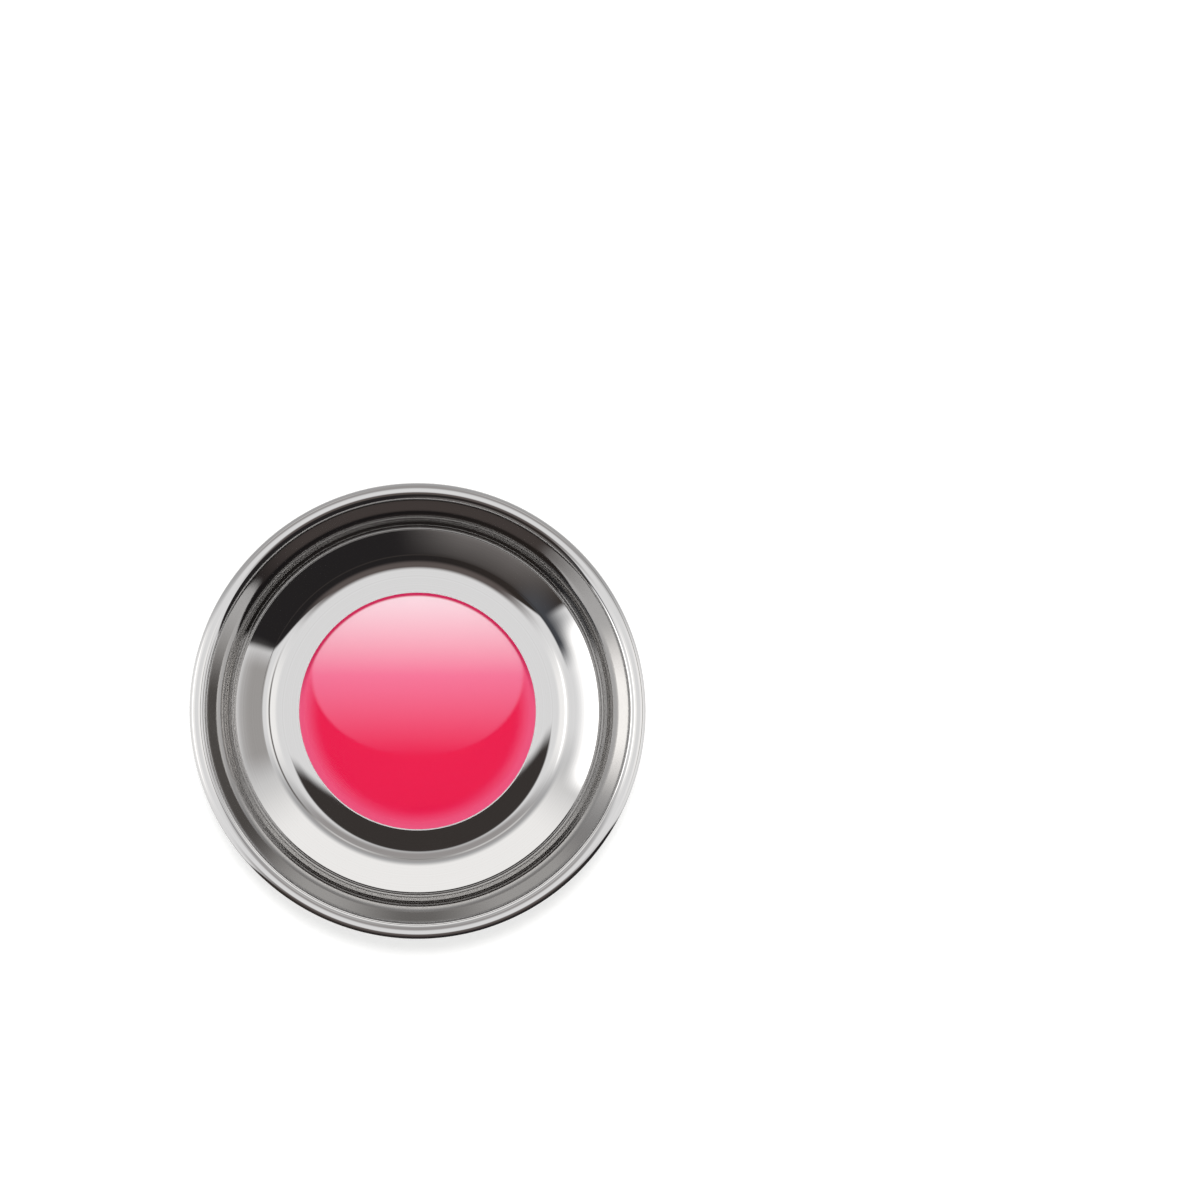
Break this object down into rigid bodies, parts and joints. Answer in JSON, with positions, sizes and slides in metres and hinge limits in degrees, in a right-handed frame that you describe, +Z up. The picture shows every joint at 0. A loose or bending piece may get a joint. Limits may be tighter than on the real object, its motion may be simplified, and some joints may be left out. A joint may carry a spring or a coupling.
{
  "type": "magnetic pin bowl",
  "caption": "Round stainless dish with a magnet in a rubber foot, which holds sewing pins and needles and stands on a table.",
  "frame": {"origin": "centre of the rubber foot's flat underside, at table level", "axes": "+Z up along the bowl's axis, from the foot towards the open rim; the bowl is round, so +X and +Y are any two directions across it"},
  "size_m": [0.108, 0.108, 0.0415],
  "materials": {
    "stainless_steel": "spun stainless sheet, polished bright",
    "clear_resin": "clear domed resin, glossy",
    "printed_film": "printed vinyl film, pink to red",
    "adhesive": "acrylic adhesive film",
    "black_rubber": "moulded black rubber, satin",
    "plated_steel": "bright zinc plate",
    "ferrite": "sintered ferrite, ground faces",
    "white_nylon": "moulded nylon"
  },
  "bodies": {
    "root": {"bowl": "stainless_steel", "label_dome": "clear_resin", "label_film": "printed_film", "label_tape": "adhesive", "rubber_boot": "black_rubber", "magnet_cup": "plated_steel", "ring_magnet": "ferrite", "magnet_spacer": "white_nylon", "screw": "plated_steel", "flat_washer": "plated_steel", "spring_washer": "plated_steel", "nut": "plated_steel"}
  },
  "joints": []
}
